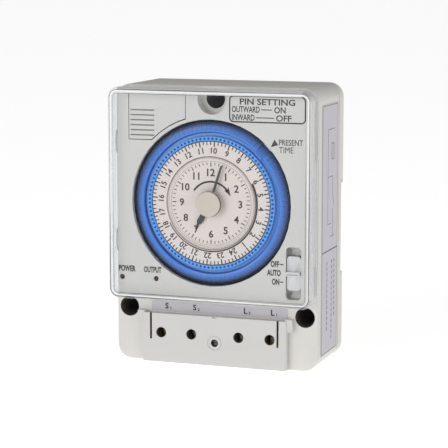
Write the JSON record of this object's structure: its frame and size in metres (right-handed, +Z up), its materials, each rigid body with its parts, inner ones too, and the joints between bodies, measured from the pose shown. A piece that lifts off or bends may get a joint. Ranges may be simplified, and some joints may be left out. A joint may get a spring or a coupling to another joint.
{
  "type": "programmable timer",
  "caption": "Mechanical 24-hour time switch: blue pin dial and clock under a hinged clear cover, mode switch, terminals below, for a rail or a wall.",
  "frame": {"origin": "middle of the rail seat, the floor of the rail channel in the back", "axes": "+Y out of the back towards the rail, +Z up, the dial faces -Y"},
  "size_m": [0.0812, 0.0427, 0.107],
  "materials": {
    "case_grey": "fine moulded texture",
    "clear_plastic": "clear polished",
    "light_grey": "fine moulded texture",
    "knob_grey": "satin",
    "dial_blue": "satin",
    "dial_white": "printed white",
    "hand_ink": "satin",
    "label_silver": "printed foil",
    "black_plastic": "satin",
    "brass": "plain",
    "steel": "zinc plated",
    "board_green": "solder mask",
    "acetal": "natural",
    "capacitor_red": "dipped",
    "led_red": "clear red",
    "cell_green": "sleeve"
  },
  "bodies": {
    "case": {"front_housing": "case_grey", "rear_cover": "case_grey", "case_screw_1": "steel", "case_screw_2": "steel", "case_screw_3": "steel", "case_screw_4": "steel", "battery_holder": "light_grey", "backup_cell": "cell_green", "cell_contact_plus": "steel", "cell_contact_minus": "steel", "terminal_block": "black_plastic", "terminal_clamp_1": "brass", "terminal_clamp_2": "brass", "terminal_clamp_3": "brass", "terminal_clamp_4": "brass", "terminal_screw_1": "steel", "terminal_screw_2": "steel", "terminal_screw_3": "steel", "terminal_screw_4": "steel", "terminal_label": "label_silver", "side_label": "label_silver", "clip_spring": "steel", "circuit_board": "board_green", "relay": "black_plastic", "film_capacitor": "capacitor_red", "power_led": "led_red", "output_led": "led_red", "micro_switch": "black_plastic", "mode_switch_body": "light_grey", "movement_front_plate": "acetal", "movement_rear_plate": "acetal", "motor": "steel", "clock_face": "dial_white"},
    "clear_cover": {"clear_cover": "clear_plastic", "hinge_pin_upper": "steel", "hinge_pin_lower": "steel"},
    "battery_door": {"battery_door": "case_grey"},
    "terminal_cover": {"terminal_cover": "light_grey", "cover_screw": "steel"},
    "mode_knob": {"mode_knob": "light_grey"},
    "din_clip": {"din_clip": "black_plastic"},
    "day_dial": {"day_dial": "dial_white", "pin_carrier": "dial_blue", "pin_ring": "dial_blue"},
    "minute_work": {"minute_arbor": "brass", "minute_hand": "hand_ink", "set_knob": "knob_grey"},
    "hour_work": {"hour_wheel": "acetal", "hour_hand": "hand_ink"},
    "motion_wheel": {"motion_wheel": "acetal"},
    "day_idler": {"day_idler": "acetal"},
    "motor_pinion": {"motor_pinion": "acetal"},
    "trip_lever": {"trip_lever": "acetal"},
    "time_pin_1": {"time_pin_1": "dial_blue"},
    "time_pin_2": {"time_pin_2": "dial_blue"},
    "time_pin_3": {"time_pin_3": "dial_blue"},
    "time_pin_4": {"time_pin_4": "dial_blue"},
    "time_pin_5": {"time_pin_5": "dial_blue"},
    "time_pin_6": {"time_pin_6": "dial_blue"}
  },
  "joints": [
    {"name": "clear_cover_hinge", "type": "hinge", "parent": "case", "child": "clear_cover", "pos_m": [-0.0396, -0.0322, 0.0148], "axis": [0, 0, -1], "range_deg": [0, 90]},
    {"name": "battery_door_slide", "type": "slide", "parent": "case", "child": "battery_door", "axis": [0, 0, 1], "range_m": [0, 0.02]},
    {"name": "terminal_cover_pull", "type": "slide", "parent": "case", "child": "terminal_cover", "axis": [0, -1, 0], "range_m": [0, 0.015]},
    {"name": "mode_switch_slide", "type": "slide", "parent": "case", "child": "mode_knob", "axis": [0, 0, 1], "range_m": [-0.0032, 0.0032]},
    {"name": "rail_clip_pull", "type": "slide", "parent": "case", "child": "din_clip", "axis": [0, 0, -1], "range_m": [0, 0.004], "stiffness_N_per_m": 600, "springref_m": -0.002, "deforming": ["clip_spring"]},
    {"name": "day_dial_turn", "type": "hinge", "parent": "case", "child": "day_dial", "pos_m": [-0.0006, -0.0326, 0.0121], "axis": [0, 1, 0], "continuous": true},
    {"name": "minute_turn", "type": "hinge", "parent": "case", "child": "minute_work", "pos_m": [-0.0006, -0.0326, 0.0121], "axis": [0, 1, 0], "continuous": true},
    {"name": "hour_turn", "type": "hinge", "parent": "case", "child": "hour_work", "pos_m": [-0.0006, -0.0326, 0.0121], "axis": [0, 1, 0], "continuous": true},
    {"name": "motion_wheel_turn", "type": "hinge", "parent": "case", "child": "motion_wheel", "pos_m": [-0.0126, -0.0176, 0.0121], "axis": [0, 1, 0], "continuous": true},
    {"name": "day_idler_turn", "type": "hinge", "parent": "case", "child": "day_idler", "pos_m": [0.0114, -0.0216, 0.0121], "axis": [0, 1, 0], "continuous": true},
    {"name": "motor_pinion_turn", "type": "hinge", "parent": "case", "child": "motor_pinion", "pos_m": [-0.0006, -0.0126, -0.0029], "axis": [0, 1, 0], "continuous": true},
    {"name": "trip_lever_swing", "type": "hinge", "parent": "case", "child": "trip_lever", "pos_m": [-0.0331, -0.03235, -0.0038], "axis": [0, 1, 0], "range_deg": [0, 3], "stiffness_Nm_per_rad": 0.01, "springref_deg": -1.72},
    {"name": "time_pin_1_slide", "type": "slide", "parent": "day_dial", "child": "time_pin_1", "axis": [0.8128, 0, 0.5825], "range_m": [-0.0012, 0]},
    {"name": "time_pin_2_slide", "type": "slide", "parent": "day_dial", "child": "time_pin_2", "axis": [0.773, 0, 0.6344], "range_m": [-0.0012, 0]},
    {"name": "time_pin_3_slide", "type": "slide", "parent": "day_dial", "child": "time_pin_3", "axis": [0.7299, 0, 0.6836], "range_m": [0, 0.0012]},
    {"name": "time_pin_4_slide", "type": "slide", "parent": "day_dial", "child": "time_pin_4", "axis": [0.6836, 0, 0.7299], "range_m": [0, 0.0012]},
    {"name": "time_pin_5_slide", "type": "slide", "parent": "day_dial", "child": "time_pin_5", "axis": [0.6344, 0, 0.773], "range_m": [-0.0012, 0]},
    {"name": "time_pin_6_slide", "type": "slide", "parent": "day_dial", "child": "time_pin_6", "axis": [0.5825, 0, 0.8128], "range_m": [-0.0012, 0]}
  ],
  "couplings": [
    {"joint": "minute_turn", "follows": "day_dial_turn", "ratio": 24},
    {"joint": "hour_turn", "follows": "day_dial_turn", "ratio": 2},
    {"joint": "motion_wheel_turn", "follows": "day_dial_turn", "ratio": -8},
    {"joint": "day_idler_turn", "follows": "day_dial_turn", "ratio": -1},
    {"joint": "motor_pinion_turn", "follows": "day_dial_turn", "ratio": -72}
  ]
}
